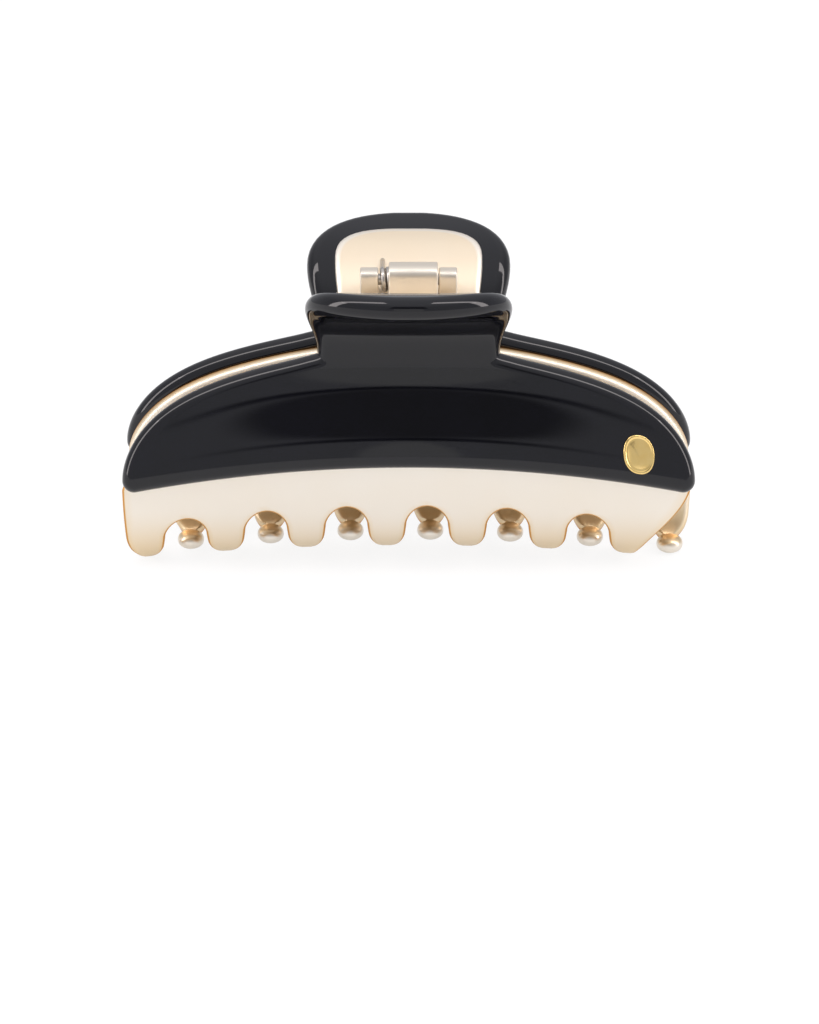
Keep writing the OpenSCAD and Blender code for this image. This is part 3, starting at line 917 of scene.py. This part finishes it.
def area_light(name, place, aim, size, energy, colour=(1, 1, 1)):
    """A rectangular softbox of the given size in metres and power in watts."""
    data = bpy.data.lights.new(name, "AREA")
    data.shape, data.energy, data.color = "RECTANGLE", energy, colour
    data.size, data.size_y = size
    return stand(name, data, place, aim)


def card_material(name, size, strength, soft, droop):
    """One brightness inside an oval with a soft rim and drooping ends, and clear outside it."""
    mat, tree = new_material(name)
    place = add(tree, "ShaderNodeTexCoord").outputs["Object"]
    x, y, _ = add(tree, "ShaderNodeSeparateXYZ", links={0: place}).outputs
    square = add(tree, "ShaderNodeMath", {"operation": "MULTIPLY"}, {0: x, 1: x})
    bent = add(tree, "ShaderNodeMath", {"operation": "MULTIPLY_ADD", 1: droop}, {0: square.outputs[0], 2: y})
    flat = add(tree, "ShaderNodeCombineXYZ", links={0: x, 1: bent.outputs[0]})
    to_oval = {"operation": "MULTIPLY", 1: (2 / size[0], 2 / size[1], 0)}
    scaled = add(tree, "ShaderNodeVectorMath", to_oval, {0: flat.outputs[0]})
    out = add(tree, "ShaderNodeVectorMath", {"operation": "LENGTH"}, {0: scaled.outputs[0]})
    edge = add(
        tree,
        "ShaderNodeMapRange",
        {"interpolation_type": "SMOOTHSTEP", "From Min": 1.0, "From Max": 1 - soft},
        {"Value": out.outputs["Value"]},
    )
    clear = add(tree, "ShaderNodeBsdfTransparent")
    glow = add(tree, "ShaderNodeEmission", {"Color": WHITE, "Strength": strength})
    both = add(
        tree, "ShaderNodeMixShader", links={0: edge.outputs[0], 1: clear.outputs[0], 2: glow.outputs[0]}
    )
    finish_material(tree, both)
    return mat


def card(name, place, aim, size, strength, soft, droop):
    """An oval card which only the gloss shows."""
    mesh = bpy.data.meshes.new(name)
    w, h = size[0] / 2, size[1] / 2
    low = -h - droop * w * w
    mesh.from_pydata([(-w, low, 0), (w, low, 0), (w, h, 0), (-w, h, 0)], [], [(0, 1, 2, 3)])
    mesh.materials.append(card_material(name, size, strength, soft, droop))
    flat = stand(name, mesh, place, aim)
    flat.visible_camera = flat.visible_shadow = flat.visible_diffuse = False


def studio_room():
    """A white backdrop to the camera, and to all else a room that is darker near the floor."""
    world = bpy.data.worlds.new("studio")
    bpy.context.scene.world = world
    world.use_nodes = True
    tree = world.node_tree
    tree.nodes.clear()
    way = add(tree, "ShaderNodeTexCoord")
    height = add(tree, "ShaderNodeSeparateXYZ", links={0: way.outputs["Generated"]})
    rise = {"From Min": 0.5, "From Max": 0.95, "To Min": 0.62, "To Max": 0.95}
    rise["interpolation_type"] = "SMOOTHSTEP"
    level = add(tree, "ShaderNodeMapRange", rise, {"Value": height.outputs["Z"]})
    room = add(tree, "ShaderNodeBackground", {"Color": srgb("#f8f9ff")}, {"Strength": level.outputs[0]})
    backdrop = add(tree, "ShaderNodeBackground", {"Color": WHITE, "Strength": 1.0})
    seen = add(tree, "ShaderNodeLightPath").outputs["Is Camera Ray"]
    sky = add(tree, "ShaderNodeMixShader", links={0: seen, 1: room.outputs[0], 2: backdrop.outputs[0]})
    add(tree, "ShaderNodeOutputWorld", links={"Surface": sky.outputs[0]})


def studio_camera(aim, tilt, lens):
    """A camera one metre from its aim, looking down at it by tilt degrees."""
    data = bpy.data.cameras.new("camera")
    data.sensor_fit, data.sensor_height, data.lens = "VERTICAL", 24.0, lens
    data.clip_start, data.clip_end = 0.01, 20
    tilt = math.radians(tilt)
    place = Vector(aim) + Vector((0, -math.cos(tilt), math.sin(tilt)))
    bpy.context.scene.camera = stand("camera", data, place, aim)
    bpy.context.scene.view_settings.view_transform = "Standard"


studio_floor()
studio_room()
# Softboxes over and beside the clip light its long edges, with a gap over its middle
WARM = (1, 0.93, 0.92)
for side in (-1, 1):
    area_light("softbox_above", (side * 0.57, -0.2, 0.75), (side * 0.57, 0, 0.03), (0.8, 0.16), 2.0, WARM)
    area_light("softbox_beside", (side * 0.92, -0.24, 0.34), (0, 0, 0.03), (0.22, 0.7), 2.4, WARM)
ceiling = area_light("ceiling", (0, 0, 1.6), (0, 0, 0), (1.8, 1.8), 5.0)
ceiling.visible_glossy = False
# White paper low in front, and the dark of the room round the camera, as the gloss shows them
card("paper_in_front", (0, -0.92, 0.12), (0, 0, 0.04), (0.16, 0.56), 0.88, 0.25, 0)
card("round_camera", (0, -0.9, 0.59), (0, 0, 0.03), (0.64, 0.36), 0.15, 0.35, 2.1)
card("dark_streak", (0, -0.86, 0.39), (0, 0, 0.03), (0.76, 0.07), 0.05, 0.7, 2.1)
studio_camera((0.00015, 0, 0.00788), tilt=23.1, lens=131.6015625)
